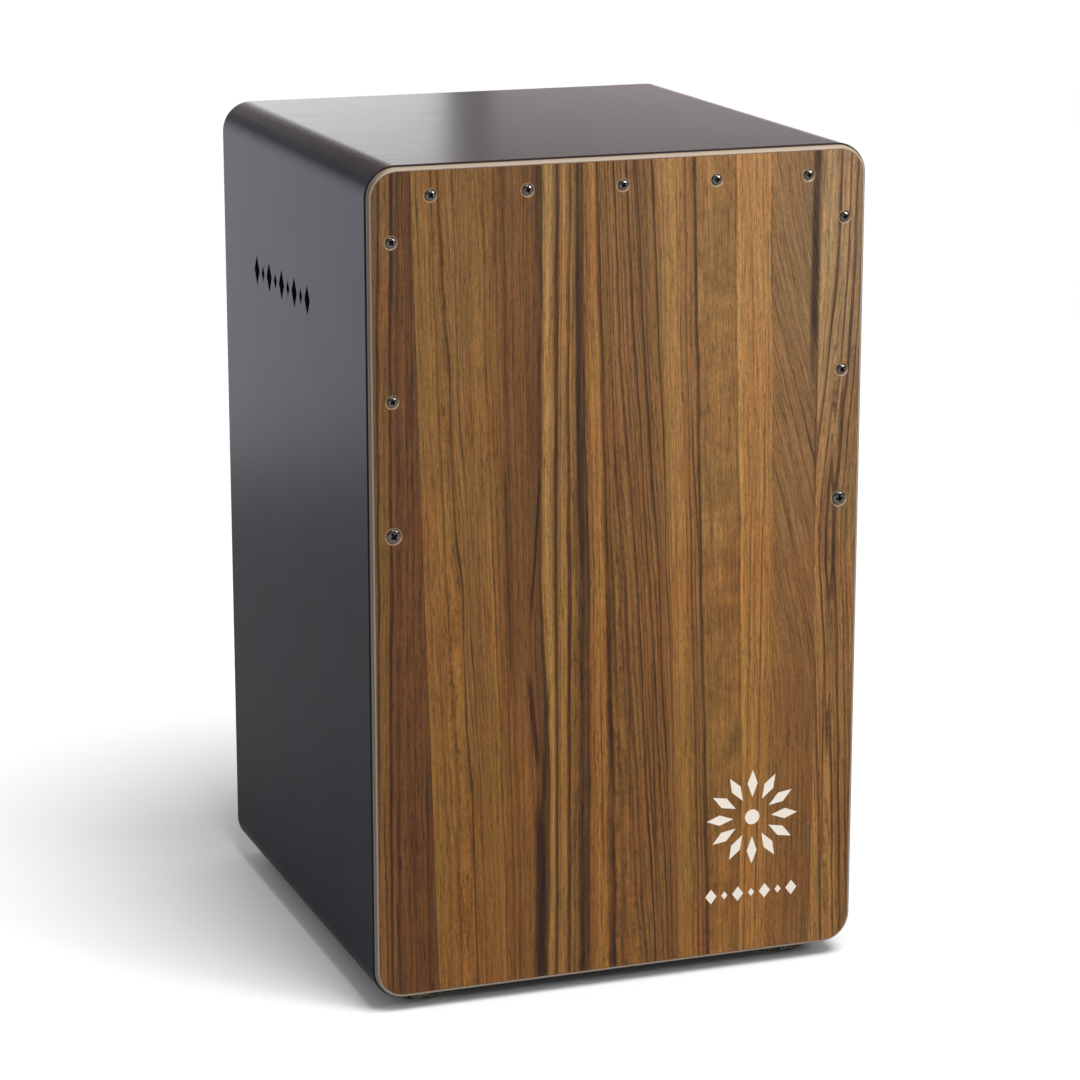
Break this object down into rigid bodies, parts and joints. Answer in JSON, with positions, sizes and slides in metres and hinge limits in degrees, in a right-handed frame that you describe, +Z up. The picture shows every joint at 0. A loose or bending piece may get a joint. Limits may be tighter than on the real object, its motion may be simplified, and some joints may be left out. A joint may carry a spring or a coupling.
{
  "type": "cajon",
  "caption": "Box drum with a walnut-faced playing surface, black plywood shell with rounded edges, sound hole in the back, rubber feet and coil snares on a tilting rail.",
  "frame": {"origin": "on the floor, under the middle of the box", "axes": "+X to the right as seen from the front, the playing surface faces -Y, +Z up"},
  "size_m": [0.3, 0.3009, 0.491],
  "materials": {
    "black_shell": "satin black stain over plywood",
    "black_back": "satin black stain over plywood",
    "walnut_face": "satin oiled walnut veneer with a pale plywood edge",
    "raw_batten": "sawn softwood, unfinished",
    "nickel": "nickel plated, slightly dulled",
    "grey_rubber": "granulated rubber",
    "zinc": "zinc plated",
    "bracket_steel": "zinc plated sheet steel",
    "rail_beech": "planed beech",
    "black_nylon": "moulded nylon",
    "snare_steel": "bright sheet steel",
    "spring_wire": "bright drawn wire",
    "lever_ply": "birch plywood, lightly oiled"
  },
  "bodies": {
    "box": {"top_panel": "black_shell", "bottom_panel": "black_shell", "left_panel": "black_shell", "right_panel": "black_shell", "back_panel": "black_back", "playing_surface": "walnut_face", "frame_rail_top": "raw_batten", "frame_rail_bottom": "raw_batten", "frame_stile_left": "raw_batten", "frame_stile_right": "raw_batten", "corner_batten_top_left": "raw_batten", "corner_batten_top_right": "raw_batten", "corner_batten_bottom_left": "raw_batten", "corner_batten_bottom_right": "raw_batten", "fixed_screws": "nickel", "large_side_screws": "nickel", "foot_front_left": "grey_rubber", "foot_front_right": "grey_rubber", "foot_back_left": "grey_rubber", "foot_back_right": "grey_rubber", "foot_screws": "zinc", "bracket_left": "bracket_steel", "bracket_right": "bracket_steel", "bracket_screws": "zinc"},
    "snare_unit": {"snare_rail": "rail_beech", "pivot_screw_left": "zinc", "pivot_screw_right": "zinc", "friction_washer_left": "black_nylon", "friction_washer_right": "black_nylon", "snare_plate_left": "snare_steel", "snare_plate_right": "snare_steel", "snare_plate_screws": "zinc", "snare_coils_left": "spring_wire", "snare_coils_right": "spring_wire", "tilt_lever": "lever_ply", "tilt_lever_screws": "zinc"},
    "tuning_screw_top_left": {"tuning_screw_top_left": "nickel"},
    "tuning_screw_top_right": {"tuning_screw_top_right": "nickel"},
    "tuning_screw_side_left": {"tuning_screw_side_left": "nickel"},
    "tuning_screw_side_right": {"tuning_screw_side_right": "nickel"}
  },
  "joints": [
    {"name": "snare_tilt", "type": "hinge", "parent": "box", "child": "snare_unit", "pos_m": [0, -0.119, 0.29], "axis": [-1, 0, 0], "range_deg": [0, 12]},
    {"name": "tuning_screw_top_left_turn", "type": "hinge", "parent": "box", "child": "tuning_screw_top_left", "pos_m": [-0.113, -0.15, 0.474], "axis": [0, 1, 0], "range_deg": [-180, 0]},
    {"name": "tuning_screw_top_right_turn", "type": "hinge", "parent": "box", "child": "tuning_screw_top_right", "pos_m": [0.113, -0.15, 0.474], "axis": [0, 1, 0], "range_deg": [-180, 0]},
    {"name": "tuning_screw_side_left_turn", "type": "hinge", "parent": "box", "child": "tuning_screw_side_left", "pos_m": [-0.136, -0.15, 0.449], "axis": [0, 1, 0], "range_deg": [-180, 0]},
    {"name": "tuning_screw_side_right_turn", "type": "hinge", "parent": "box", "child": "tuning_screw_side_right", "pos_m": [0.136, -0.15, 0.449], "axis": [0, 1, 0], "range_deg": [-180, 0]}
  ]
}
